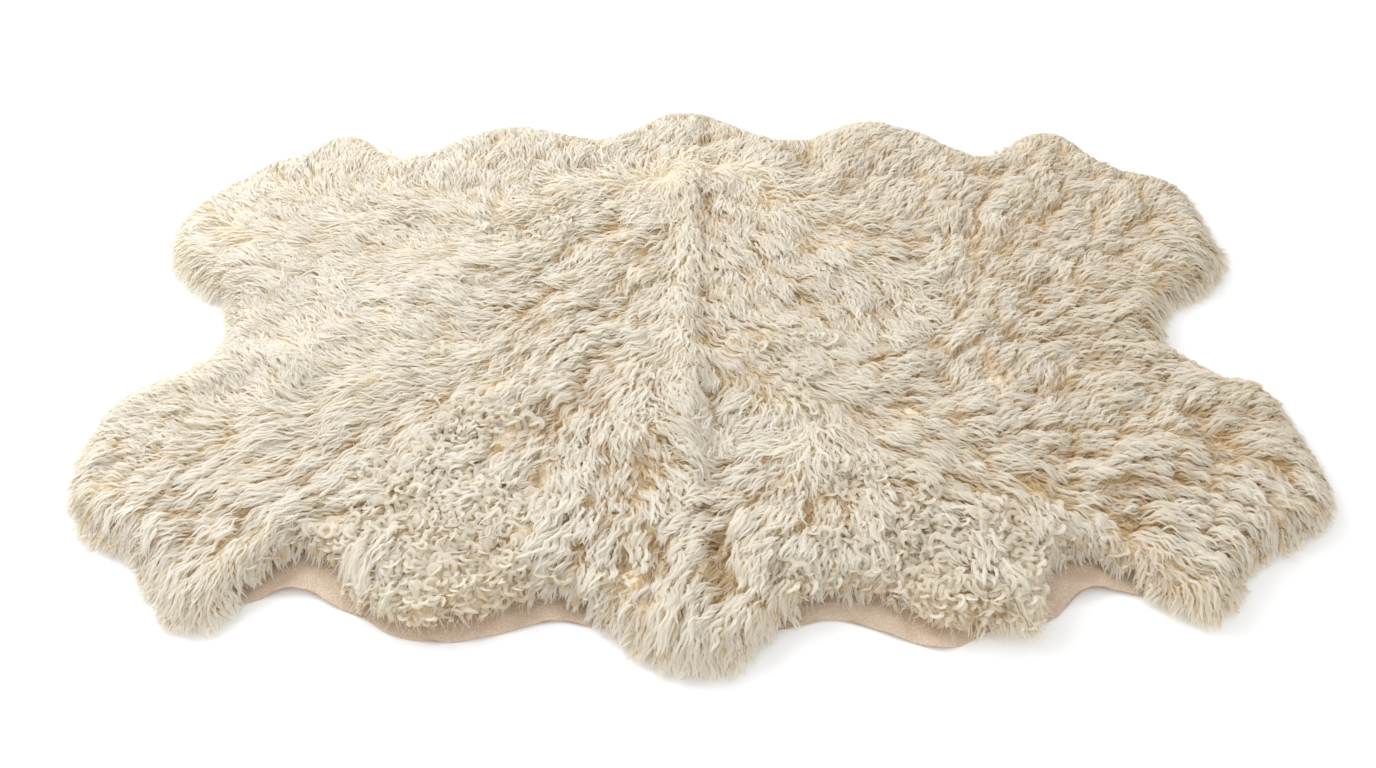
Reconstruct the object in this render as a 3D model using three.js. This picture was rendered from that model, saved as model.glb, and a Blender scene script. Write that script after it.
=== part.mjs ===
// A four-pelt sheepskin rug of long wool, lying flat on a floor. Millimetres, +Z up.
//
// Four pelts are sewn edge to edge, leather to leather, along two seams that cross at right angles in the
// middle of the rug. Each pelt is a thin tanned hide with its fleece on top. The fleece falls over the hide's
// edge and ends in locks that rest on the floor, except at a few bare margins, where the leather shows.
//
// Every pelt is drawn in the same quarter: "along" is the distance from the long seam, which crosses the rug,
// and "across" is the distance from the short seam. The quarter is then mirrored to its own corner.
import * as THREE from "three";

const SEAM_GAP = 0.3; // between two neighbouring pelts
const SEAM_BOW = 0.15; // how far a pelt's cut edge is drawn in midway along a seam
const PILE_GAP = 0.3; // between a hide and the fleece on it

const HIDE = {
  thickness: 2,
  overhang: 30, // how far the fleece hangs out past the hide's edge
  ripple: 30, // width of the edge strip that can lift off the floor
};

const BARE_FADE = 14; // bare width at which the fleece no longer hangs over the edge at all
const LIFT_FADE = 8; // bare width past the ripple strip at which the edge lifts in full

const FLEECE = {
  depth: 44,
  tuft: 3.2, // rise and fall from one tuft to the next
  stray: 1.5, // how far any point of it strays from its height
};

// Broad lumps of the fleece: their rise, the lengths of their waves and of the waves' own wander.
const SWELL = { rise: 3.5, along: 29, across: 26, wanderAlong: 61, wanderAcross: 43 };

// The wool stands up in a ridge on the long seam and falls in a parting on the right of it.
const RIDGE = { at: -4, width: 16, rise: 5 };
const PARTING = { at: 30, width: 18, rise: -9 };

// The fleece rounds over from its top to the foot of its rim: how far in from the foot, and how high.
const RIM_PROFILE = {
  foot: { inset: 0, height: HIDE.thickness + PILE_GAP },
  lip: { inset: 1, height: 17 },
  shoulder: { inset: 8, height: 32 },
  top: { inset: 26, height: FLEECE.depth },
};

// A lock of the rim. Its underside and back are placed at shares of its length, and their half widths are
// shares of its root's width.
const LOCK = {
  length: 24,
  lengthOnLeather: 15,
  lengthStray: 0.35,
  reach: 8, // how far the tips pass the outline, so that tips and hollows even out on it
  sway: 8, // how far a tip strays to either side
  clearance: 4, // of a lock that reaches down to the floor, to the hide's edge
  underside: { at: 0.55, halfWidth: 0.31 },
  back: { at: 0.5, halfWidth: 0.22, height: 10, heightStray: 0.25 },
  tipHeight: 1.5,
};

// Grid of the fleece: cells along the short seam, cells along the long seam.
const CELLS_ALONG = 26;
const CELLS_ACROSS = 20;
const STATIONS = CELLS_ALONG + CELLS_ACROSS;
const EVENING_PASSES = 24;
const RIM_ROWS = 2; // rows of the grid that follow the rim
const RIM_STEP = 22; // from one of them to the next
const SEED = 7;

// Middle of a quarter, which the rim is drawn in towards.
const HEART = new THREE.Vector2(420, 270);

// The rim of each pelt, from the end of the long seam round to the end of the short one.
// Columns: along, across, bare (width of leather that the wool leaves uncovered), lift (rise of that edge).
const RIM_COLUMNS = ["along", "across", "bare", "lift"];
const PELTS = [
  {
    name: "front_left",
    mirror: [-1, -1],
    rim: [
      [0, 602, 0, 0],
      [60, 572, 0, 0],
      [112, 534, 8, 0],
      [170, 511, 24, 0],
      [250, 533, 16, 0],
      [335, 550, 10, 0],
      [400, 538, 10, 0],
      [450, 508, 6, 0],
      [500, 474, 36, 3],
      [528, 461, 44, 13],
      [556, 472, 42, 2],
      [586, 484, 16, 0],
      [612, 515, 0, 0],
      [642, 532, 0, 0],
      [690, 517, 0, 0],
      [722, 470, 0, 0],
      [771, 419, 0, 0],
      [820, 392, 0, 0],
      [872, 339, 0, 0],
      [894, 255, 0, 0],
      [889, 184, 0, 0],
      [868, 126, 0, 0],
      [817, 87, 0, 0],
      [775, 66, 0, 0],
      [748, 31, 0, 0],
      [742, 0, 0, 0],
    ],
  },
  {
    name: "front_right",
    mirror: [1, -1],
    rim: [
      [0, 602, 0, 0],
      [57, 584, 0, 0],
      [109, 542, 6, 0],
      [177, 509, 26, 0],
      [240, 525, 32, 0],
      [290, 547, 14, 0],
      [335, 557, 14, 0],
      [386, 546, 6, 0],
      [445, 546, 0, 0],
      [474, 536, 2, 0],
      [496, 492, 34, 2],
      [533, 464, 44, 13],
      [562, 466, 40, 2],
      [592, 472, 16, 0],
      [632, 503, 0, 0],
      [690, 522, 0, 0],
      [722, 494, 0, 0],
      [740, 460, 0, 0],
      [778, 424, 0, 0],
      [873, 374, 0, 0],
      [905, 346, 0, 0],
      [917, 306, 0, 0],
      [909, 225, 0, 0],
      [899, 165, 0, 0],
      [892, 115, 0, 0],
      [850, 96, 0, 0],
      [805, 70, 0, 0],
      [768, 33, 0, 0],
      [754, 0, 0, 0],
    ],
  },
  {
    name: "back_left",
    mirror: [-1, 1],
    rim: [
      [0, 613, 0, 0],
      [45, 603, 0, 0],
      [80, 578, 0, 0],
      [120, 540, 0, 0],
      [168, 521, 0, 0],
      [255, 550, 0, 0],
      [342, 571, 0, 0],
      [390, 553, 0, 0],
      [440, 523, 0, 0],
      [485, 492, 8, 0],
      [522, 474, 14, 0],
      [572, 489, 6, 0],
      [611, 526, 0, 0],
      [648, 542, 0, 0],
      [686, 522, 0, 0],
      [720, 480, 0, 0],
      [781, 439, 0, 0],
      [840, 386, 0, 0],
      [888, 315, 0, 0],
      [894, 240, 0, 0],
      [884, 178, 0, 0],
      [850, 134, 0, 0],
      [795, 95, 0, 0],
      [760, 66, 0, 0],
      [743, 20, 0, 0],
      [742, 0, 0, 0],
    ],
  },
  {
    name: "back_right",
    mirror: [1, 1],
    rim: [
      [0, 613, 0, 0],
      [38, 602, 0, 0],
      [80, 568, 0, 0],
      [125, 540, 0, 0],
      [180, 518, 0, 0],
      [220, 526, 0, 0],
      [268, 561, 0, 0],
      [325, 582, 0, 0],
      [380, 571, 0, 0],
      [440, 549, 0, 0],
      [475, 523, 8, 0],
      [510, 500, 20, 0],
      [552, 485, 26, 0],
      [594, 510, 8, 0],
      [636, 541, 0, 0],
      [675, 545, 0, 0],
      [710, 532, 0, 0],
      [742, 478, 0, 0],
      [788, 429, 0, 0],
      [845, 412, 0, 0],
      [883, 390, 0, 0],
      [897, 340, 0, 0],
      [905, 260, 0, 0],
      [909, 190, 0, 0],
      [888, 140, 0, 0],
      [845, 107, 0, 0],
      [795, 80, 0, 0],
      [762, 38, 0, 0],
      [754, 0, 0, 0],
    ],
  },
];

const WOOL = { color: 0xe9dfc8, roughness: 0.95, metalness: 0 };
const LEATHER = { color: 0xc6a282, roughness: 0.75, metalness: 0 };

const { lerp, smoothstep, seededRandom } = THREE.MathUtils;

// A number between -1 and 1 from the seeded sequence.
const stray = () => 2 * seededRandom() - 1;

// Collects points and triangles of one closed body.
class Body {
  constructor() {
    this.points = [];
    this.triangles = [];
  }

  point(spot, height) {
    this.points.push(new THREE.Vector3(spot.x, spot.y, height));
    return this.points.length - 1;
  }

  loop(spots, heightAt) {
    return spots.map((spot, index) => this.point(spot, heightAt(index, spot)));
  }

  quad(a, b, c, d) {
    this.triangles.push([a, b, c], [a, c, d]);
  }

  // Wall between two closed loops, from a place in them round to their end.
  band(lower, upper, from = 0) {
    for (let i = from; i < lower.length; i++) {
      const next = (i + 1) % lower.length;
      this.quad(lower[i], lower[next], upper[next], upper[i]);
    }
  }

  // Flat floor or lid inside a closed loop.
  fill(loop, isLid) {
    const outline = loop.map((corner) => new THREE.Vector2(this.points[corner].x, this.points[corner].y));
    for (const [a, b, c] of THREE.ShapeUtils.triangulateShape(outline, [])) {
      this.triangles.push(isLid ? [loop[a], loop[c], loop[b]] : [loop[a], loop[b], loop[c]]);
    }
  }

  // The quarter is pushed off both seams and mirrored to its corner. Its triangles are turned over where the
  // mirror leaves them inside out.
  geometry([mirrorX, mirrorY]) {
    const halfGap = SEAM_GAP / 2;
    const place = (p) => [mirrorX * (p.x + halfGap), mirrorY * (p.y + halfGap), p.z];
    const positions = this.points.flatMap(place);
    const isInsideOut = mirrorX * mirrorY > 0;
    const corners = this.triangles.flatMap(([a, b, c]) => (isInsideOut ? [a, c, b] : [a, b, c]));
    const geometry = new THREE.BufferGeometry();
    geometry.setAttribute("position", new THREE.Float32BufferAttribute(positions, 3));
    geometry.setIndex(corners);
    geometry.computeVertexNormals();
    return geometry;
  }
}

// Evenly spaced stations round the rim, each with its inward direction, bare width and edge lift.
function walkRim(rows) {
  const rim = rows.map((row) => Object.fromEntries(RIM_COLUMNS.map((column, i) => [column, row[i]])));
  const curve = new THREE.CatmullRomCurve3(rim.map((r) => new THREE.Vector3(r.along, r.across, 0)));
  const stations = [];
  for (let j = 0; j <= STATIONS; j++) {
    const t = curve.getUtoTmapping(j / STATIONS);
    const place = t * (rim.length - 1);
    const row = Math.min(Math.floor(place), rim.length - 2);
    const share = place - row;
    const before = rim[row];
    const after = rim[row + 1];
    const spot = curve.getPoint(t);
    const tangent = curve.getTangent(t);
    const inward = new THREE.Vector2(tangent.y, -tangent.x);
    inward.add(HEART.clone().sub(spot).normalize()).normalize();
    const bare = lerp(before.bare, after.bare, share);
    const lift = lerp(before.lift, after.lift, share) * smoothstep(bare - HIDE.ripple, 0, LIFT_FADE);
    stations.push({ spot: new THREE.Vector2(spot.x, spot.y), inward, bare, lift });
  }
  stations[0].inward.set(0, -1);
  stations[STATIONS].inward.set(-1, 0);
  return stations;
}

// How far the wool covers the rim at a station: 1 where it hangs out over the edge, 0 where the leather is
// bare.
const cover = (station) => 1 - smoothstep(station.bare, 0, BARE_FADE);

// Distance from the outline in to the hide's edge.
const hideInset = (station) => HIDE.overhang * cover(station);

const lockLength = (station) => lerp(LOCK.lengthOnLeather, LOCK.length, cover(station));

// Distance from the outline in to the foot of the fleece's rim.
const rimInset = (station) => station.bare + lockLength(station) - LOCK.reach * cover(station);

const insetSpot = (station, inset) => station.spot.clone().addScaledVector(station.inward, inset);

// Closes a row of rim spots into a loop, back along the short seam and out along the long one, inset from
// both. seamEnds holds the two rim spots that the seams' own points are shared out between. Each cut edge is
// drawn in a hair between its ends.
function closeAlongSeams(rimSpots, seamEnds = [rimSpots[0], rimSpots[STATIONS]], inset = 0) {
  const [longEnd, shortEnd] = seamEnds;
  const drawnIn = (share) => inset + SEAM_BOW * Math.sin(Math.PI * share);
  const spots = [...rimSpots];
  for (let i = CELLS_ALONG - 1; i >= 0; i--) {
    const share = i / CELLS_ALONG;
    spots.push(new THREE.Vector2(lerp(inset, shortEnd.x, share), drawnIn(share)));
  }
  for (let j = 1; j < CELLS_ACROSS; j++) {
    const share = j / CELLS_ACROSS;
    spots.push(new THREE.Vector2(drawnIn(share), lerp(inset, longEnd.y, share)));
  }
  return spots;
}

// The rim's turns, eased: in each pass every spot between the ends moves to the mean of itself and its
// neighbours.
function ease(ring, passes) {
  let eased = ring;
  for (let pass = 0; pass < passes; pass++) {
    const from = eased;
    const mean = (i) => from[i - 1].clone().add(from[i]).add(from[i + 1]).divideScalar(3);
    eased = from.map((spot, i) => (i === 0 || i === STATIONS ? spot : mean(i)));
  }
  return eased;
}

// Tanned hide: a flat sheet whose edge strip lifts in soft ripples where the leather is bare.
function hideBody(stations) {
  const body = new Body();
  const edge = closeAlongSeams(stations.map((station) => insetSpot(station, hideInset(station))));
  const corner = new THREE.Vector2(HIDE.ripple, HIDE.ripple);
  const innerRim = ease(
    stations.map((station) => insetSpot(station, hideInset(station) + HIDE.ripple).max(corner)),
    1,
  );
  const inner = closeAlongSeams(innerRim, [innerRim[0], innerRim[STATIONS]], HIDE.ripple);
  const liftAt = (index) => (index <= STATIONS ? stations[index].lift : 0);
  const innerFloor = body.loop(inner, () => 0);
  const edgeFloor = body.loop(edge, (index) => liftAt(index));
  const edgeTop = body.loop(edge, (index) => liftAt(index) + HIDE.thickness);
  const innerTop = body.loop(inner, () => HIDE.thickness);
  body.fill(innerFloor, false);
  body.band(innerFloor, edgeFloor);
  body.band(edgeFloor, edgeTop);
  body.band(edgeTop, innerTop);
  body.fill(innerTop, true);
  return body;
}

// Height of the fleece's top at a place on the rug.
function fleeceTop(x, y) {
  const mound = ({ at, width, rise }) => rise * Math.exp(-(((x - at) / width) ** 2));
  const waveAlong = Math.sin(x / SWELL.along + Math.sin(y / SWELL.wanderAcross));
  const waveAcross = Math.cos(y / SWELL.across + Math.sin(x / SWELL.wanderAlong));
  return FLEECE.depth + SWELL.rise * waveAlong * waveAcross + mound(RIDGE) + mound(PARTING);
}

// A spot of the grid inside a loop that has CELLS_ALONG and CELLS_ACROSS cells on its sides, blended from
// them.
function blendSpot(loopSpots, i, j) {
  const u = i / CELLS_ALONG;
  const v = j / CELLS_ACROSS;
  const shortSeam = loopSpots[STATIONS + CELLS_ALONG - i];
  const longSeam = loopSpots[(STATIONS + CELLS_ALONG + j) % loopSpots.length];
  const front = loopSpots[i];
  const end = loopSpots[STATIONS - j];
  const crossing = loopSpots[STATIONS + CELLS_ALONG];
  const shortEnd = loopSpots[STATIONS];
  const longEnd = loopSpots[0];
  const leg = loopSpots[CELLS_ALONG];
  const blend = (axis) =>
    lerp(shortSeam[axis], front[axis], v) +
    lerp(longSeam[axis], end[axis], u) -
    lerp(lerp(crossing[axis], shortEnd[axis], u), lerp(longEnd[axis], leg[axis], u), v);
  return new THREE.Vector2(blend("x"), blend("y"));
}

// The fleece's whole grid of spots. Its first rows and columns inside the rim follow the rim, each a step
// further in and with its turns eased, and the rest is evened out so that no cell closes up.
function fleeceGrid(loopSpots, stations) {
  const grid = [];
  for (let j = 0; j <= CELLS_ACROSS; j++) {
    grid.push(Array.from({ length: CELLS_ALONG + 1 }, (_, i) => blendSpot(loopSpots, i, j)));
  }
  let ring = loopSpots.slice(0, STATIONS + 1);
  for (let depth = 1; depth <= RIM_ROWS; depth++) {
    const stepIn = (spot, k) => spot.clone().addScaledVector(stations[k].inward, RIM_STEP);
    ring = ease(ring.map(stepIn), 3);
    const row = CELLS_ACROSS - depth;
    const column = CELLS_ALONG - depth;
    for (let i = 1; i < column; i++) {
      grid[row][i] = ring[i];
    }
    for (let j = 1; j < row; j++) {
      grid[j][column] = ring[STATIONS - j];
    }
    grid[row][column] = ring[CELLS_ALONG];
  }
  for (let pass = 0; pass < EVENING_PASSES; pass++) {
    for (let j = 1; j < CELLS_ACROSS - RIM_ROWS; j++) {
      for (let i = 1; i < CELLS_ALONG - RIM_ROWS; i++) {
        const mean = grid[j][i].set(0, 0);
        for (const neighbour of [grid[j][i - 1], grid[j][i + 1], grid[j - 1][i], grid[j + 1][i]]) {
          mean.addScaledVector(neighbour, 1 / 4);
        }
      }
    }
  }
  return grid;
}

// One lock of the rim grows out of the wall's facet between two stations. It narrows to a middle section and
// a tip, and rests along its underside on the floor, or on the leather where that reaches out below it.
function addLock(body, stations, j, foot, lip) {
  const here = stations[j];
  const next = stations[j + 1];
  const clearsHide = (station) => hideInset(station) > rimInset(station) + LOCK.clearance;
  const rest = clearsHide(here) && clearsHide(next) ? 0 : HIDE.thickness + 2 * PILE_GAP;
  const left = body.points[foot[j]];
  const side = new THREE.Vector2().copy(body.points[foot[j + 1]]).sub(left);
  const out = here.inward.clone().add(next.inward).normalize().negate();
  const room = Math.min(1, here.spot.distanceTo(next.spot) / side.length());
  const length = lockLength(here) * (1 + LOCK.lengthStray * stray());
  const sway = side.clone().setLength(LOCK.sway * room * stray());

  const spotAt = (share, width) => {
    const spot = new THREE.Vector2(left.x, left.y).addScaledVector(side, 0.5 + width * room);
    spot.addScaledVector(out, length * share).addScaledVector(sway, share ** 2);
    return spot.max(new THREE.Vector2(SEAM_GAP, SEAM_GAP));
  };
  const { underside, back } = LOCK;
  const backHeight = rest + back.height * (1 + back.heightStray * stray());
  const section = [
    body.point(spotAt(underside.at, -underside.halfWidth), rest),
    body.point(spotAt(underside.at, underside.halfWidth), rest),
    body.point(spotAt(back.at, back.halfWidth), backHeight),
    body.point(spotAt(back.at, -back.halfWidth), backHeight),
  ];
  const root = [foot[j], foot[j + 1], lip[j + 1], lip[j]];
  const tip = body.point(spotAt(1, 0), rest + LOCK.tipHeight);
  for (let k = 0; k < 4; k++) {
    const after = (k + 1) % 4;
    body.quad(root[k], root[after], section[after], section[k]);
    body.triangles.push([section[k], section[after], tip]);
  }
}

// Fleece: a lumpy slab, upright against its neighbours at the seams, rounded over at the rim, with locks.
function fleeceBody(stations, [mirrorX, mirrorY]) {
  const body = new Body();
  const ringAt = ({ inset }) => stations.map((station) => insetSpot(station, rimInset(station) + inset));
  const topRing = ease(ringAt(RIM_PROFILE.top), 2);
  const topSpots = closeAlongSeams(topRing);
  const topHeight = (spot) => fleeceTop(mirrorX * spot.x, mirrorY * spot.y);
  const wallLoop = (level, roughness) =>
    body.loop(
      closeAlongSeams(ringAt(level), [topRing[0], topRing[STATIONS]]),
      () => level.height + roughness * stray(),
    );
  const foot = wallLoop(RIM_PROFILE.foot, 0);
  const lip = wallLoop(RIM_PROFILE.lip, FLEECE.stray);
  const shoulder = wallLoop(RIM_PROFILE.shoulder, FLEECE.stray);
  const top = body.loop(topSpots, (_, spot) => topHeight(spot));

  body.fill(foot, false);
  for (let j = 0; j < STATIONS; j++) {
    addLock(body, stations, j, foot, lip);
  }
  body.band(foot, lip, STATIONS);
  body.band(lip, shoulder);
  body.band(shoulder, top);

  const grid = fleeceGrid(topSpots, stations);
  const cornerAt = (i, j) => {
    if (j === CELLS_ACROSS) return top[i];
    if (i === CELLS_ALONG) return top[STATIONS - j];
    if (j === 0) return top[STATIONS + CELLS_ALONG - i];
    if (i === 0) return top[STATIONS + CELLS_ALONG + j];

    const tuft = FLEECE.tuft * ((i + j) % 2 ? 1 : -1) + FLEECE.stray * stray();
    return body.point(grid[j][i], topHeight(grid[j][i]) + tuft);
  };
  const rows = grid.map((row, j) => row.map((_, i) => cornerAt(i, j)));
  for (let j = 0; j < CELLS_ACROSS; j++) {
    for (let i = 0; i < CELLS_ALONG; i++) {
      body.quad(rows[j][i], rows[j + 1][i], rows[j + 1][i + 1], rows[j][i + 1]);
    }
  }
  return body;
}

function namedMesh(name, geometry, finish) {
  const mesh = new THREE.Mesh(geometry, new THREE.MeshStandardMaterial(finish));
  mesh.name = name;
  return mesh;
}

const rug = new THREE.Group();
seededRandom(SEED);
for (const { name, mirror, rim } of PELTS) {
  const stations = walkRim(rim);
  rug.add(namedMesh(`hide_${name}`, hideBody(stations).geometry(mirror), LEATHER));
  rug.add(namedMesh(`wool_${name}`, fleeceBody(stations, mirror).geometry(mirror), WOOL));
}

// The origin is the middle of the floor patch that the rug covers.
const bounds = new THREE.Box3().setFromObject(rug);
const middle = bounds.getCenter(new THREE.Vector3());
for (const mesh of rug.children) {
  mesh.position.set(-middle.x, -middle.y, -bounds.min.z);
}

export default rug;
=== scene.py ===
# A four-pelt sheepskin rug of long wool, laid flat on a pale floor.
import math

import bmesh
import bpy
import numpy as np
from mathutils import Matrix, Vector
from mathutils.bvhtree import BVHTree
from mathutils.kdtree import KDTree


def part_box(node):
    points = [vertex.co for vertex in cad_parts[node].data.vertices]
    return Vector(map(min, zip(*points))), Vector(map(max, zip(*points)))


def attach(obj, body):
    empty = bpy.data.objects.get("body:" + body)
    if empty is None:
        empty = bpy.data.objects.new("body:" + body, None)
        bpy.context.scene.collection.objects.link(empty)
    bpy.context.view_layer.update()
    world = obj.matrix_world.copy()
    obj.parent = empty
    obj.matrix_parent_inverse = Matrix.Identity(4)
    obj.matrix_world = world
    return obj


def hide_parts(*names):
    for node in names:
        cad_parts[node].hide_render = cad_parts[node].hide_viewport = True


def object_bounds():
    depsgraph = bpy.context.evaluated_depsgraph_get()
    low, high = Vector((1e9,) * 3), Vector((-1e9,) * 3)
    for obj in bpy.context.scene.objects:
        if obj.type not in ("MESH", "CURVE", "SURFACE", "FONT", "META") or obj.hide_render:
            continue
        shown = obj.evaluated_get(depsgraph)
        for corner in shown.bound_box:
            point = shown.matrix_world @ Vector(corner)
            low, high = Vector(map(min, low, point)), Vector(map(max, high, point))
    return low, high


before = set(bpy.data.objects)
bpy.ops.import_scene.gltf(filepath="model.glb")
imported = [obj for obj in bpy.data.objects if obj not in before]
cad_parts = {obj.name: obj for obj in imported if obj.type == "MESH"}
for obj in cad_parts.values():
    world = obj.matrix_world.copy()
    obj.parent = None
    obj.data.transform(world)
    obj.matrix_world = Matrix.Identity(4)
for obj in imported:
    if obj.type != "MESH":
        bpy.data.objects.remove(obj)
solid_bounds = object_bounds()

# ---------------------------------------------------------------- camera
# Someone stands at the front of the rug and looks down on all of it.
eye = bpy.data.cameras.new("eye")
eye.lens = 31.5
eye.sensor_width = 36
eye_stand = bpy.data.objects.new("eye", eye)
eye_stand.location = (-0.0118, -1.3592, 1.3791)
eye_stand.rotation_euler = (math.radians(42.5), 0, 0)
bpy.context.collection.objects.link(eye_stand)
bpy.context.scene.camera = eye_stand

# ---------------------------------------------------------------- floor and daylight
# A smooth white floor under an overcast sky, with a broad window at the back on the left.
bpy.ops.object.select_all(action="DESELECT")
bpy.ops.mesh.primitive_plane_add(size=14, location=(0, 0, 0))
floor = bpy.context.object
floor.name = "floor"
paint = bpy.data.materials.new("floor_paint")
paint.use_nodes = True
paint_shader = paint.node_tree.nodes["Principled BSDF"]
paint_shader.inputs["Base Color"].default_value = (1, 1, 1, 1)
paint_shader.inputs["Roughness"].default_value = 0.9
paint_shader.inputs["Specular IOR Level"].default_value = 0.1
floor.data.materials.append(paint)

sky = bpy.data.worlds.new("sky")
sky.use_nodes = True
sky.node_tree.nodes["Background"].inputs["Color"].default_value = (1, 1, 1, 1)
sky.node_tree.nodes["Background"].inputs["Strength"].default_value = 0.92
bpy.context.scene.world = sky
bpy.context.scene.view_settings.view_transform = "Standard"


def add_window(name, place, aim, size, watts, colour):
    lamp = bpy.data.lights.new(name, "AREA")
    lamp.shape = "RECTANGLE"
    lamp.size, lamp.size_y = size
    lamp.energy = watts
    lamp.color = colour
    stand = bpy.data.objects.new(name, lamp)
    stand.location = place
    stand.rotation_euler = (Vector(aim) - Vector(place)).to_track_quat("-Z", "Y").to_euler()
    bpy.context.collection.objects.link(stand)


add_window("window", (-2.1, 1.8, 1.9), (0, 0.1, 0), (2.6, 1.8), 91, (0.975, 0.988, 1))
add_window("fill", (2.6, -1.6, 2.6), (0.2, 0, 0), (2.5, 2.0), 5, (1, 0.99, 0.96))

# ---------------------------------------------------------------- the lie of the pelts
# Four pelts lie sewn together, the wool on each as thick as it grew. The wool's top and rim, and the leather's top,
# are read off their solids on one level grid, so that every strand grows where its pelt is.
PELTS = ("front_left", "front_right", "back_left", "back_right")
CELL = 0.005  # between the grid's lines
MARGIN = 0.08  # of the grid round the pelts


def tree_of(kind):
    verts, faces = [], []
    for pelt in PELTS:
        mesh = bpy.data.objects[f"{kind}_{pelt}"].data
        base = len(verts)
        verts.extend(v.co.copy() for v in mesh.vertices)
        faces.extend([base + i for i in p.vertices] for p in mesh.polygons)
    return BVHTree.FromPolygons(verts, faces)


lows, highs = np.array(solid_bounds[0]), np.array(solid_bounds[1])
corner = lows[:2] - MARGIN
columns, rows = np.ceil((highs[:2] + MARGIN - corner) / CELL).astype(int) + 1


def heights_of(kind):
    tree = tree_of(kind)
    grid = np.zeros((rows, columns))
    for r in range(rows):
        for c in range(columns):
            hit = tree.ray_cast(Vector((corner[0] + c * CELL, corner[1] + r * CELL, 1)), Vector((0, 0, -1)))
            if hit[0] is not None:
                grid[r, c] = hit[0].z
    return grid


def blurred(grid, reach):
    """Mean over a square window, twice over, in metres either way."""
    n = max(1, round(reach / CELL))
    out = grid
    for _ in range(2):
        for axis in (0, 1):
            padded = np.pad(out, [(n, n) if a == axis else (0, 0) for a in (0, 1)], mode="edge")
            out = sum(np.take(padded, range(k, k + grid.shape[axis]), axis=axis) for k in range(2 * n + 1))
            out = out / (2 * n + 1)
    return out


def read(grid, xy):
    """The grid's value at places on the floor, with the corners of each cell blended."""
    at = (xy - corner) / CELL
    at = np.clip(at, 0, [columns - 1.001, rows - 1.001])
    c, r = at[..., 0].astype(int), at[..., 1].astype(int)
    u, v = at[..., 0] - c, at[..., 1] - r
    near = grid[r, c] * (1 - u) + grid[r, c + 1] * u
    far = grid[r + 1, c] * (1 - u) + grid[r + 1, c + 1] * u
    return near * (1 - v) + far * v


def smooth(x, low, high):
    t = np.clip((x - low) / (high - low), 0, 1)
    return t * t * (3 - 2 * t)


def wander(spacing, draw):
    """A soft random grid between -1 and 1 that turns over about once in each spacing, in metres."""
    across, along = (int(n * CELL / spacing) + 3 for n in (columns, rows))
    knots = draw.uniform(-1, 1, (along, across))
    r = np.arange(rows) * CELL / spacing
    c = np.arange(columns) * CELL / spacing
    r0, c0 = r.astype(int), c.astype(int)
    u = c - c0
    v = (r - r0)[:, None]
    u, v = u * u * (3 - 2 * u), v * v * (3 - 2 * v)
    near = knots[r0][:, c0] * (1 - u) + knots[r0][:, c0 + 1] * u
    far = knots[r0 + 1][:, c0] * (1 - u) + knots[r0 + 1][:, c0 + 1] * u
    return near * (1 - v) + far * v


wool_height = heights_of("wool")
hide_height = heights_of("hide")
wool_patch = blurred((wool_height > 0.001).astype(float), 0.006)
pile = np.where(wool_patch > 0.5, wool_height, 0)
pile = blurred(np.where(pile > 0, pile, 0.004), 0.010)
ground = np.maximum(blurred(hide_height, 0.005), 0)

# How far each cell lies inside the wool's outline, and which way is out.
outline = np.argwhere(
    (wool_patch > 0.5)
    & ((np.roll(wool_patch, 1, 0) <= 0.5) | (np.roll(wool_patch, -1, 0) <= 0.5)
       | (np.roll(wool_patch, 1, 1) <= 0.5) | (np.roll(wool_patch, -1, 1) <= 0.5))
)
rim_tree = KDTree(len(outline))
for index, (r, c) in enumerate(outline):
    rim_tree.insert((corner[0] + c * CELL, corner[1] + r * CELL, 0), index)
rim_tree.balance()
inside = np.zeros((rows, columns))
for r in range(rows):
    for c in range(columns):
        away = rim_tree.find((corner[0] + c * CELL, corner[1] + r * CELL, 0))[2]
        inside[r, c] = away if wool_patch[r, c] > 0.5 else -away
inside_soft = blurred(inside, 0.010)
out_y, out_x = np.gradient(-inside_soft, CELL)

# The long seam stands up in a ridge with a parting on its right, and the pile rolls in low lumps. Places and widths
# are across the seam.
RIDGE_PLACE, RIDGE_WIDTH, RIDGE_HEIGHT = -0.014, 0.022, 0.006
PARTING_PLACE, PARTING_WIDTH, PARTING_DEPTH = 0.026, 0.019, 0.006
PARTING_FRONT = 0.007  # how much deeper the parting is at the front
SMALL_LUMP, LARGE_LUMP = 0.007, 0.006

draw = np.random.default_rng(5)
level_x = (corner[0] + CELL * np.arange(columns))[None, :]
level_y = (corner[1] + CELL * np.arange(rows))[:, None]
drift = level_x - 0.013 * wander(0.11, draw)
seam_run = smooth(level_y, -0.52, -0.42) * (1 - smooth(level_y, 0.38, 0.47))
ridge = np.exp(-((drift - RIDGE_PLACE) / RIDGE_WIDTH) ** 2) * (0.8 + 0.4 * wander(0.06, draw)) * seam_run
parting = np.exp(-((drift - PARTING_PLACE) / PARTING_WIDTH) ** 2) * (0.6 + 0.6 * wander(0.06, draw)) * seam_run
parting_depth = PARTING_DEPTH + PARTING_FRONT * smooth(-level_y, 0.05, 0.3)
lumps = SMALL_LUMP * wander(0.06, draw) + LARGE_LUMP * wander(0.12, draw)
pile = pile + RIDGE_HEIGHT * ridge - parting_depth * parting + lumps * smooth(inside, 0.01, 0.06)
mean_pile = blurred(pile, 0.03)

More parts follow.
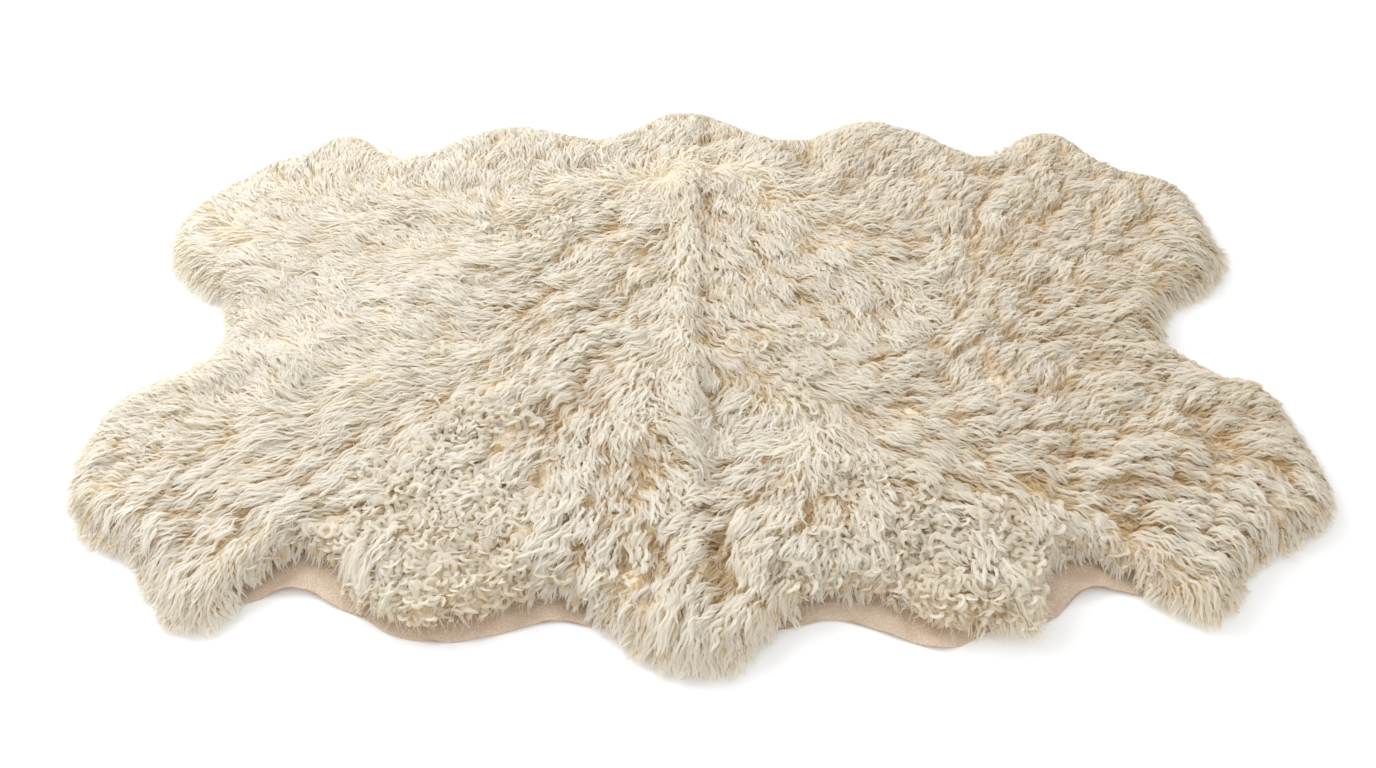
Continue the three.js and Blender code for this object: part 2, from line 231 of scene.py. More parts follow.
# ---------------------------------------------------------------- hides
# Four tanned skins, 2 mm thick, sewn edge to edge. Where the wool leaves a margin bare, the suede shows, and its
# edge lifts off the floor in soft ripples.
HIDE_CUTS = {  # width, length and area of each cut skin, in metres and square metres
    "front_left": (0.865, 0.572, 0.406),
    "front_right": (0.871, 0.572, 0.417),
    "back_left": (0.865, 0.567, 0.404),
    "back_right": (0.864, 0.567, 0.419),
}
LONG_SEAM_HALF, SHORT_SEAM_HALF = 0.013, 0.008  # the strips along the seams whose cut edges stay straight
RIPPLE_HEIGHT, RIPPLE_ACROSS, RIPPLE_ALONG = 0.0022, 0.0095, 0.017

suede = bpy.data.materials.new("suede")
suede.use_nodes = True
suede_tree = suede.node_tree
suede_shader = suede_tree.nodes["Principled BSDF"]
suede_shader.inputs["Roughness"].default_value = 0.85
suede_shader.inputs["Specular IOR Level"].default_value = 0.25
suede_shader.inputs["Sheen Weight"].default_value = 0.35
suede_shader.inputs["Sheen Roughness"].default_value = 0.6
suede_place = suede_tree.nodes.new("ShaderNodeTexCoord")
patches = suede_tree.nodes.new("ShaderNodeTexNoise")
patches.inputs["Scale"].default_value = 28
patches.inputs["Detail"].default_value = 5
patch_colours = suede_tree.nodes.new("ShaderNodeValToRGB")
patch_colours.color_ramp.elements[0].position = 0.3
patch_colours.color_ramp.elements[0].color = (0.66, 0.49, 0.35, 1)
patch_colours.color_ramp.elements[1].position = 0.7
patch_colours.color_ramp.elements[1].color = (0.81, 0.65, 0.49, 1)
pebbles = suede_tree.nodes.new("ShaderNodeTexVoronoi")
pebbles.inputs["Scale"].default_value = 330
pebble_shade = suede_tree.nodes.new("ShaderNodeMapRange")
pebble_shade.inputs["From Max"].default_value = 0.6
pebble_shade.inputs["To Min"].default_value = 1.05
pebble_shade.inputs["To Max"].default_value = 0.80
# Near its cut edge the suede is painted dark brown, as painted shade along the rim.
edge = suede_tree.nodes.new("ShaderNodeAttribute")
edge.attribute_name = "edge"
edge_shade = suede_tree.nodes.new("ShaderNodeMix")
edge_shade.data_type = "RGBA"
edge_shade.inputs["B"].default_value = (0.30, 0.19, 0.12, 1)
pebbled = suede_tree.nodes.new("ShaderNodeMix")
pebbled.data_type = "RGBA"
pebbled.blend_type = "MULTIPLY"
pebbled.inputs["Factor"].default_value = 1
nap = suede_tree.nodes.new("ShaderNodeBump")
nap.inputs["Strength"].default_value = 0.6
nap.inputs["Distance"].default_value = 0.0012
link = suede_tree.links.new
link(suede_place.outputs["Object"], patches.inputs["Vector"])
link(suede_place.outputs["Object"], pebbles.inputs["Vector"])
link(patches.outputs["Fac"], patch_colours.inputs["Fac"])
link(pebbles.outputs["Distance"], pebble_shade.inputs["Value"])
link(patch_colours.outputs["Color"], pebbled.inputs["A"])
link(pebble_shade.outputs["Result"], pebbled.inputs["B"])
link(pebbled.outputs["Result"], edge_shade.inputs["A"])
link(edge.outputs["Fac"], edge_shade.inputs["Factor"])
link(edge_shade.outputs["Result"], suede_shader.inputs["Base Color"])
link(pebbles.outputs["Distance"], nap.inputs["Height"])
link(nap.outputs["Normal"], suede_shader.inputs["Normal"])

hide_patch = blurred((hide_height > 0.0005).astype(float), 0.005)
for pelt, (cut_width, cut_length, cut_area) in HIDE_CUTS.items():
    bpy.ops.object.select_all(action="DESELECT")
    solid = bpy.data.objects[f"hide_{pelt}"]
    solid.hide_viewport = False
    solid.select_set(True)
    bpy.context.view_layer.objects.active = solid
    bpy.ops.object.duplicate()
    piece = bpy.context.object
    piece.name = f"leather_{pelt}"
    for key in [k for k in piece.keys() if k.startswith("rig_")]:
        del piece[key]
    bpy.ops.object.mode_set(mode="EDIT")
    bpy.ops.mesh.select_all(action="SELECT")
    bpy.ops.mesh.remove_doubles(threshold=0.00002)
    bpy.ops.mesh.tris_convert_to_quads()
    bpy.ops.object.mode_set(mode="OBJECT")
    skin = bmesh.new()
    skin.from_mesh(piece.data)
    crease = skin.edges.layers.float.new("crease_edge")
    for seam_edge in skin.edges:
        ends = [v.co for v in seam_edge.verts]
        if all(abs(p.x) < LONG_SEAM_HALF for p in ends) or all(abs(p.y) < SHORT_SEAM_HALF for p in ends):
            seam_edge[crease] = 1.0
    skin.to_mesh(piece.data)
    skin.free()
    rounding = piece.modifiers.new("rounding", "SUBSURF")
    rounding.levels = rounding.render_levels = 2
    bpy.ops.object.modifier_apply(modifier=rounding.name)
    spots = np.array([v.co[:2] for v in piece.data.vertices])
    bare = 1 - smooth(read(inside, spots), -0.02, 0.02)
    ripples = np.sin(spots[:, 0] / RIPPLE_ACROSS) * np.cos(spots[:, 1] / RIPPLE_ALONG + 1)
    rise = RIPPLE_HEIGHT * (1 + ripples) * bare
    for v, up in zip(piece.data.vertices, rise):
        v.co.z = max(v.co.z, 0) + up
    # How near each point lies to the cut edge, where the suede is painted dark as painted shade.
    cut_shade = 1 - smooth(read(hide_patch, spots), 0.5, 0.62)
    piece.data.attributes.new("edge", "FLOAT", "POINT").data.foreach_set("value", cut_shade)
    piece.data.shade_smooth()
    piece.data.materials.clear()
    piece.data.materials.append(suede)
    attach(piece, "root")
    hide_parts(f"hide_{pelt}")

# ---------------------------------------------------------------- combing
# The wool was combed by hand stroke by stroke: away from the long seam to both ends, and out over the rim.
# Each row is a stroke's x, y, heading, curl and fluff, in millimetres, degrees and parts of 1. Curl is how far the
# wool there has sprung back into ringlets, and fluff is how fine and loose it is.
STROKES = np.array([
    # back row, over the rim
    (-860, 190, 185, 0.0, 0.9),
    (-840, 300, 150, 0.0, 0.8),
    (-700, 400, 115, 0.0, 0.7),
    (-620, 490, 105, 0.0, 0.7),
    (-560, 390, 105, 0.1, 0.6),
    (-430, 450, 95, 0.0, 0.6),
    (-300, 490, 92, 0.0, 0.5),
    (-180, 440, 82, 0.0, 0.4),
    (-110, 520, 78, 0.0, 0.4),
    (60, 480, 95, 0.0, 0.4),
    (180, 430, 85, 0.0, 0.4),
    (340, 470, 68, 0.0, 0.3),
    (350, 350, 65, 0.0, 0.3),
    (530, 420, 60, 0.0, 0.2),
    (640, 470, 55, 0.0, 0.3),
    (660, 350, 45, 0.0, 0.2),
    (790, 380, 35, 0.0, 0.3),
    (860, 290, 10, 0.0, 0.3),
    # back half, left of the long seam
    (-700, 280, 160, 0.1, 0.8),
    (-500, 260, 165, 0.1, 0.7),
    (-340, 320, 110, 0.2, 0.5),
    (-300, 200, 170, 0.5, 0.5),
    (-180, 300, 200, 0.3, 0.3),
    (-130, 170, 232, 0.1, 0.2),
    (-220, 70, 222, 0.0, 0.2),
    (-380, 100, 165, 0.3, 0.7),
    (-520, 120, 160, 0.2, 0.9),
    (-640, 20, 130, 0.1, 0.9),
    (-790, 130, 200, 0.0, 0.9),
    # back half, right of the long seam
    (60, 300, 300, 0.0, 0.3),
    (130, 210, 310, 0.1, 0.4),
    (70, 100, 305, 0.1, 0.3),
    (190, 300, 20, 0.1, 0.4),
    (260, 170, 340, 0.2, 0.4),
    (400, 220, 50, 0.2, 0.1),
    (430, 100, 40, 0.1, 0.1),
    (560, 220, 45, 0.2, 0.1),
    (570, 110, 32, 0.0, 0.0),
    (720, 220, 20, 0.0, 0.1),
    (720, 80, 5, 0.0, 0.1),
    (840, 170, 355, 0.0, 0.2),
    # middle band, along the short seam
    (-850, -130, 165, 0.1, 0.8),
    (-720, -110, 135, 0.3, 0.7),
    (-580, -60, 140, 0.1, 0.9),
    (-460, -130, 165, 0.2, 0.8),
    (-380, -40, 180, 0.1, 0.7),
    (-300, -70, 262, 0.1, 0.2),
    (-200, -70, 222, 0.0, 0.1),
    (-80, -80, 225, 0.0, 0.2),
    (60, -60, 300, 0.2, 0.4),
    (150, -110, 312, 0.4, 0.5),
    (260, 40, 275, 0.2, 0.3),
    (300, -110, 10, 0.1, 0.2),
    (410, -90, 62, 0.0, 0.0),
    (510, -110, 58, 0.0, 0.0),
    (640, -50, 20, 0.0, 0.0),
    (760, -60, 0, 0.0, 0.1),
    (700, -160, 25, 0.0, 0.0),
    # front half, left of the long seam
    (-860, -280, 195, 0.0, 0.6),
    (-760, -230, 170, 0.4, 0.5),
    (-700, -300, 203, 0.0, 0.5),
    (-580, -250, 205, 0.1, 0.6),
    (-470, -240, 215, 0.2, 0.6),
    (-800, -380, 222, 0.0, 0.4),
    (-620, -400, 235, 0.0, 0.4),
    (-700, -490, 232, 0.0, 0.4),
    (-510, -380, 230, 0.3, 0.3),
    (-420, -330, 225, 0.8, 0.2),
    (-340, -230, 200, 0.6, 0.2),
    (-440, -470, 240, 0.8, 0.3),
    (-330, -440, 240, 1.0, 0.0),
    (-370, -520, 250, 1.0, 0.0),
    (-270, -500, 250, 0.9, 0.0),
    (-240, -370, 240, 0.7, 0.0),
    (-220, -250, 230, 0.3, 0.0),
    (-120, -190, 228, 0.1, 0.0),
    (-45, -170, 335, 0.0, 0.1),
    (-60, -270, 328, 0.0, 0.0),
    (-140, -300, 300, 0.2, 0.0),
    (-105, -390, 305, 0.1, 0.0),
    (-180, -460, 255, 0.2, 0.0),
    (-75, -470, 275, 0.0, 0.1),
    (-15, -400, 268, 0.0, 0.1),
    (-60, -560, 275, 0.0, 0.3),
    # front half, right of the long seam
    (60, -160, 255, 0.4, 0.3),
    (100, -240, 195, 0.1, 0.6),
    (210, -230, 320, 0.4, 0.6),
    (57, -365, 202, 0.0, 0.1),
    (146, -347, 290, 0.4, 0.2),
    (260, -330, 320, 0.4, 0.3),
    (42, -441, 222, 0.0, 0.1),
    (105, -470, 250, 0.2, 0.1),
    (50, -570, 258, 0.0, 0.3),
    (180, -490, 272, 0.6, 0.1),
    (240, -420, 285, 0.9, 0.1),
    (300, -470, 275, 1.0, 0.0),
    (340, -540, 280, 1.0, 0.0),
    (390, -420, 320, 0.6, 0.0),
    (350, -300, 345, 0.1, 0.2),
    (435, -500, 318, 0.8, 0.0),
    (340, -230, 5, 0.1, 0.1),
    (470, -230, 10, 0.0, 0.0),
    (470, -360, 325, 0.2, 0.0),
    (560, -300, 350, 0.1, 0.0),
    (560, -420, 315, 0.3, 0.0),
    (680, -250, 5, 0.0, 0.0),
    (700, -350, 340, 0.0, 0.0),
    (680, -450, 318, 0.0, 0.1),
    (820, -230, 0, 0.0, 0.1),
    (860, -330, 345, 0.0, 0.2),
])
STROKE_REACH = 52  # millimetres over which one stroke gives way to the next

# Where the leather shows past the wool, the wool beside it has curled back.
bare_margin = blurred(((hide_patch > 0.5) & (wool_patch < 0.5)).astype(float), 0.018)


def combed(xy):
    """Heading, agreement of the strokes, curl and fluff of the wool at places on the floor, in metres."""
    away = xy[:, None, :] * 1000 - STROKES[None, :, :2]
    weight = np.exp(-(away ** 2).sum(2) / (2 * STROKE_REACH ** 2)) + 1e-9
    weight /= weight.sum(1, keepdims=True)
    turn = np.radians(STROKES[:, 2])
    north, east = weight @ np.sin(turn), weight @ np.cos(turn)
    curl = weight @ STROKES[:, 3] + 3.0 * read(bare_margin, xy)
    return np.arctan2(north, east), np.hypot(north, east), curl, weight @ STROKES[:, 4]


# Where the strokes part, the wool opens.
WIDE_PARTING = 22  # how fast the strokes part, in radians a metre, where the wool is fully open
cell_places = np.stack(np.meshgrid(level_x[0], level_y[:, 0]), axis=-1).reshape(-1, 2)
flow = combed(cell_places)[0].reshape(rows, columns)
opening = np.gradient(np.cos(flow), CELL, axis=1) + np.gradient(np.sin(flow), CELL, axis=0)
opening = blurred(np.clip(opening / WIDE_PARTING, 0, 1), 0.010)

# ---------------------------------------------------------------- wool finish
# Washed ivory wool: bleached pale at the tips, golden at the roots, and streaked along its fibres. Its golden end
# also serves as painted shade where strands lie low. It lets some light through, a little warmer than it came.


def wool_finish(name, deep, body, tip, streak):
    finish = bpy.data.materials.new(name)
    finish.use_nodes = True
    tree = finish.node_tree

    def node(kind, **settings):
        made = tree.nodes.new(kind)
        for key, value in settings.items():
            setattr(made, key, value)
        return made

    shader = tree.nodes["Principled BSDF"]
    shader.inputs["Roughness"].default_value = 0.75
    shader.inputs["Specular IOR Level"].default_value = 0.3
    shader.inputs["Sheen Weight"].default_value = 0.3
    shader.inputs["Sheen Roughness"].default_value = 0.5
    along = node("ShaderNodeAttribute", attribute_name="along")
    tint = node("ShaderNodeAttribute", attribute_name="tint")
    fibre_map = node("ShaderNodeUVMap", uv_map="Fibre")
    stretch = node("ShaderNodeMapping")
    stretch.inputs["Scale"].default_value = (0.55, 0.05, 1)
    fibres = node("ShaderNodeTexNoise", noise_dimensions="2D")
    fibres.inputs["Scale"].default_value = 1.0
    fibres.inputs["Detail"].default_value = 2.0
    tree.links.new(fibre_map.outputs["UV"], stretch.inputs["Vector"])
    tree.links.new(stretch.outputs["Vector"], fibres.inputs["Vector"])

    ramp = node("ShaderNodeValToRGB")
    ramp.color_ramp.elements[0].color = (*deep, 1)
    ramp.color_ramp.elements[1].color = (*tip, 1)
    middle = ramp.color_ramp.elements.new(0.5)
    middle.color = (*body, 1)
    streaked = node("ShaderNodeMath", operation="MULTIPLY_ADD")
    streaked.inputs[1].default_value = streak
    tree.links.new(fibres.outputs["Fac"], streaked.inputs[0])
    shifted = node("ShaderNodeMath", operation="SUBTRACT")
    shifted.inputs[1].default_value = streak / 2
    tree.links.new(along.outputs["Fac"], shifted.inputs[0])
    tree.links.new(shifted.outputs["Value"], streaked.inputs[2])
    tree.links.new(streaked.outputs["Value"], ramp.inputs["Fac"])

    # The tint darkens and warms the colour: random differences in tone, and painted shade towards the right end.
    warm = node("ShaderNodeMix", data_type="RGBA", blend_type="MULTIPLY")
    warm.inputs["B"].default_value = (0.945, 0.916, 0.855, 1)
    tree.links.new(tint.outputs["Fac"], warm.inputs["Factor"])
    tree.links.new(ramp.outputs["Color"], warm.inputs["A"])
    tree.links.new(warm.outputs["Result"], shader.inputs["Base Color"])

    grain = node("ShaderNodeBump")
    grain.inputs["Strength"].default_value = 0.3
    grain.inputs["Distance"].default_value = 0.0006
    tree.links.new(fibres.outputs["Fac"], grain.inputs["Height"])
    tree.links.new(grain.outputs["Normal"], shader.inputs["Normal"])

    glow = node("ShaderNodeMix", data_type="RGBA", blend_type="MULTIPLY")
    glow.inputs["Factor"].default_value = 1
    glow.inputs["B"].default_value = (1, 0.96, 0.85, 1)
    tree.links.new(warm.outputs["Result"], glow.inputs["A"])
    through = node("ShaderNodeBsdfTranslucent")
    tree.links.new(glow.outputs["Result"], through.inputs["Color"])
    blend = node("ShaderNodeMixShader")
    blend.inputs["Fac"].default_value = 0.57
    tree.links.new(shader.outputs["BSDF"], blend.inputs[1])
    tree.links.new(through.outputs["BSDF"], blend.inputs[2])
    tree.links.new(blend.outputs["Shader"], tree.nodes["Material Output"].inputs["Surface"])
    return finish


long_wool = wool_finish("long_wool", (0.82, 0.69, 0.465), (0.957, 0.932, 0.882), (0.984, 0.980, 0.968), 0.30)

# ---------------------------------------------------------------- underwool
# Short dense wool fills the pile between the locks, down to the leather. It is golden, because no daylight has
# bleached it, and seldom seen.
UNDERWOOL_CELL = 0.012
UNDERWOOL_DROP = 0.009  # below the top of the pile
UNDERWOOL_EDGE = 0.012  # back from the rim
UNDERWOOL_FOOT = 0.0006  # above the leather

felt = bpy.data.materials.new("underwool")
felt.use_nodes = True
felt_tree = felt.node_tree
felt_shader = felt_tree.nodes["Principled BSDF"]
felt_shader.inputs["Roughness"].default_value = 0.95
felt_shader.inputs["Specular IOR Level"].default_value = 0.1
felt_shader.inputs["Sheen Weight"].default_value = 0.3
felt_place = felt_tree.nodes.new("ShaderNodeTexCoord")
felt_noise = felt_tree.nodes.new("ShaderNodeTexNoise")
felt_noise.inputs["Scale"].default_value = 260
felt_noise.inputs["Detail"].default_value = 4
felt_ramp = felt_tree.nodes.new("ShaderNodeValToRGB")
felt_ramp.color_ramp.elements[0].position = 0.35
felt_ramp.color_ramp.elements[0].color = (0.76, 0.65, 0.48, 1)
felt_ramp.color_ramp.elements[1].position = 0.65
felt_ramp.color_ramp.elements[1].color = (0.90, 0.83, 0.70, 1)
felt_bump = felt_tree.nodes.new("ShaderNodeBump")
felt_bump.inputs["Strength"].default_value = 0.8
felt_bump.inputs["Distance"].default_value = 0.002
felt_tree.links.new(felt_place.outputs["Object"], felt_noise.inputs["Vector"])
felt_tree.links.new(felt_noise.outputs["Fac"], felt_ramp.inputs["Fac"])
felt_tree.links.new(felt_ramp.outputs["Color"], felt_shader.inputs["Base Color"])
felt_tree.links.new(felt_noise.outputs["Fac"], felt_bump.inputs["Height"])
felt_tree.links.new(felt_bump.outputs["Normal"], felt_shader.inputs["Normal"])

draw = np.random.default_rng(3)
tufts = wander(0.022, draw) * 0.003 + wander(0.05, draw) * 0.003
for pelt in PELTS:
    low, high = (np.array(p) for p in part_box(f"wool_{pelt}"))
    cells = np.ceil((high - low)[:2] / UNDERWOOL_CELL).astype(int)
    bpy.ops.object.select_all(action="DESELECT")
    bpy.ops.mesh.primitive_grid_add(x_subdivisions=int(cells[0]), y_subdivisions=int(cells[1]), size=1)
    piece = bpy.context.object
    piece.name = f"underwool_{pelt}"
    grid = bmesh.new()
    grid.from_mesh(piece.data)
    flat = (low[:2] + high[:2]) / 2 + np.array([v.co[:2] for v in grid.verts]) * (high - low)[:2]
    level = read(pile, flat) - UNDERWOOL_DROP + 0.003 * np.clip(combed(flat)[2], 0, 1) + read(tufts, flat)
    deep_in = read(inside, flat)
    foot = read(ground, flat) + UNDERWOOL_FOOT
    gone = []
    for v, xy, z, depth, low_z in zip(grid.verts, flat, level, deep_in, foot):
        v.co = (xy[0], xy[1], max(z, low_z + 0.001))
        if depth < UNDERWOOL_EDGE:
            gone.append(v)
    bmesh.ops.delete(grid, geom=gone, context="VERTS")
    rim_edges = [e for e in grid.edges if e.is_boundary]
    skirt = bmesh.ops.extrude_edge_only(grid, edges=rim_edges)["geom"]
    for v in (g for g in skirt if isinstance(g, bmesh.types.BMVert)):
        v.co.z = float(read(ground, np.array([v.co[:2]]))[0]) + UNDERWOOL_FOOT
    bmesh.ops.holes_fill(grid, edges=[e for e in grid.edges if e.is_boundary])
    bmesh.ops.recalc_face_normals(grid, faces=grid.faces)
    bmesh.ops.triangulate(grid, faces=[f for f in grid.faces if len(f.verts) > 4])
    grid.to_mesh(piece.data)
    grid.free()
    piece.data.shade_smooth()
    piece.data.materials.append(felt)
    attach(piece, "root")
    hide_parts(f"wool_{pelt}")

# ---------------------------------------------------------------- locks
# Long strands grow all over the hide and lie on each other like shingles. They hang together in locks, wavy with
# the fleece's crimp, and the locks in tufts, whose tips draw together.
draw = np.random.default_rng(11)
UP = np.array([0.0, 0.0, 1.0])
EDGES = (-1, 1)  # a strand is a ribbon between its two edges
TOP = 0.056  # from here up the wool is pressed down
PRESSED = 0.005  # and ends at most this far above
SPILL = 0.018  # as far as any fibre strays past the rim


def unit(v):
    return v / np.maximum(np.linalg.norm(v, axis=-1, keepdims=True), 1e-9)


def column(a):
    return a[:, None]


def sow(spacing, shake, least):
    """Roots in offset rows, each shaken from its place, as far inside the rim as least."""
    xs = np.arange(corner[0], corner[0] + columns * CELL, spacing)
    ys = np.arange(corner[1], corner[1] + rows * CELL, spacing * 0.87)
    grid = np.stack(np.meshgrid(xs, ys), axis=-1)
    grid[1::2, :, 0] += spacing / 2
    spots = grid.reshape(-1, 2)
    spots = spots + draw.uniform(-shake, shake, spots.shape)
    return spots[read(inside, spots) > least]


def strand_mesh(name, lines, half, over, along, tint):
    """Joins strands into one mesh: their middle lines, half widths and the way their backs face. The normals lean
    out at the edges, so that each strand is lit as a round one."""
    places, heights = lines[..., :2], lines[..., 2]
    away = unit(np.stack([read(out_x, places), read(out_y, places)], axis=-1))
    lines[..., :2] = places - away * np.maximum(-read(inside, places) - SPILL, 0)[..., None]
    lines[..., 2] = np.where(heights > TOP, TOP + PRESSED * np.tanh((heights - TOP) / PRESSED), heights)
    count, steps, _ = lines.shape
    forward = unit(np.gradient(lines, axis=1))
    side = unit(np.cross(forward, over))
    over = np.cross(side, forward)
    edges = np.stack([lines + half[..., None] * w * side for w in EDGES], axis=2)[:, :-1]
    leaning = np.stack([unit(over + 0.45 * w * side) for w in EDGES], axis=2)[:, :-1]
    points = np.concatenate([edges.reshape(count, -1, 3), lines[:, -1:]], axis=1)
    normals = np.concatenate([leaning.reshape(count, -1, 3), over[:, -1:]], axis=1)
    per = points.shape[1]
    first = np.arange(count)[:, None] * per
    k = first + 2 * np.arange(steps - 2)[None, :]
    quads = np.stack([k, k + 1, k + 3, k + 2], axis=2).reshape(count, -1)
    tips = first + np.array([[per - 3, per - 2, per - 1]])
    loops = np.concatenate([quads, tips], axis=1).reshape(-1)
    sizes = np.tile([4] * (steps - 2) + [3], count)
    mesh = bpy.data.meshes.new(name)
    mesh.vertices.add(count * per)
    mesh.vertices.foreach_set("co", points.reshape(-1))
    mesh.loops.add(len(loops))
    mesh.loops.foreach_set("vertex_index", loops)
    mesh.polygons.add(len(sizes))
    mesh.polygons.foreach_set("loop_start", np.concatenate([[0], np.cumsum(sizes)[:-1]]))
    mesh.update(calc_edges=True)
    mesh.shade_smooth()
    mesh.normals_split_custom_set_from_vertices(normals.reshape(-1, 3))

    def by_point(values):
        """One value for each step, as each point of the mesh has it."""
        return np.concatenate([np.repeat(values[:, :-1], 2, axis=1), values[:, -1:]], axis=1)

    for label, values in (("along", along), ("tint", tint)):
        mesh.attributes.new(label, "FLOAT", "POINT").data.foreach_set("value", by_point(values).reshape(-1))

    # Fibres run along each strand: millimetres across it and along it, from a start of its own.
    step_length = np.linalg.norm(np.diff(lines, axis=1), axis=2)
    run = np.concatenate([np.zeros((count, 1)), np.cumsum(step_length, axis=1)], axis=1) * 1000
    start = draw.uniform(0, 900, (count, 1))
    across = np.stack([start + 1000 * w * half for w in EDGES], axis=2)[:, :-1].reshape(count, -1)
    fibre = np.stack([np.concatenate([across, start], axis=1), by_point(run) + start * 3], axis=2).reshape(-1, 2)

    # Each strand has a cell of its own on the bake's map.
    cells = math.ceil(math.sqrt(count))
    cell = np.stack([np.arange(count) % cells, np.arange(count) // cells], axis=1)
    own_x = np.append(np.tile([0.1, 0.9], steps - 1), 0.5)
    own_y = by_point(np.linspace(0.08, 0.92, steps)[None, :])[0]
    bake = ((cell[:, None, :] + np.stack([own_x, own_y], axis=1)[None]) / cells).reshape(-1, 2)
    mesh.uv_layers.new(name="Fibre").data.foreach_set("uv", fibre[loops].reshape(-1))
    mesh.uv_layers.new(name="OFBake").data.foreach_set("uv", bake[loops].reshape(-1))

    piece = bpy.data.objects.new(name, mesh)
    bpy.context.collection.objects.link(piece)
    mesh.materials.append(long_wool)
    return piece


def lay_on_pile(xy, depth, s):
    """Heights of a strand's points: its root in the pile, its body on it, and never in the floor or the leather."""
    out = unit(np.stack([read(out_x, xy), read(out_y, xy)], axis=-1))
    held = xy - out * 0.005 * smooth(-read(inside, xy), -0.03, 0.0)[..., None]
    rest = read(ground, xy) + 0.002 + 0.003 * (1 - s)
    return np.maximum(read(pile, held) - depth, rest)


def kept_in(at, turn, length, spill):
    """Shortens the strands whose tips would pass the outline by more than their spill."""
    for _ in range(8):
        tips = at + np.stack([np.cos(turn), np.sin(turn)], axis=1) * column(length)
        length = np.where(read(inside, tips) < -spill, length * 0.88, length)
    return length


def nearest(spots, at):
    tree = KDTree(len(spots))
    for index, (x, y) in enumerate(spots):
        tree.insert((x, y, 0), index)
    tree.balance()
    return np.array([tree.find((x, y, 0))[1] for x, y in at])


STRAND_GAP, STRAND_LENGTH, STRAND_HALF = 0.00615, 0.047, 0.0022
SHORTEST = 0.018  # strand
STRAND_FOOT = 0.0015  # above the leather
RIGHT_SHADE_TINT = 0.34  # how much warmer and darker the wool is painted in each metre to the right, as painted shade away from the window
ROOT_DEPTH = 0.014  # below the top of the pile
ALL_CURLED = 0.76  # the curl from which no long strand grows
CRIMP = 0.030  # length of one wave of a lock
WAVE = 0.0028  # and its height
TUFT = 0.045  # from one tuft to the next
LOCK = 0.015  # from one lock of a tuft to the next
LONG_STEPS = 9

springy = 0.25 * wander(0.04, draw)
swirl = 0.5 * wander(0.08, draw) + 0.35 * wander(0.16, draw)
swell = 0.003 * wander(0.03, draw)
blush = 0.16 * wander(0.08, draw) + 0.10 * wander(0.03, draw)
crimp_start = 3.5 * wander(0.10, draw)


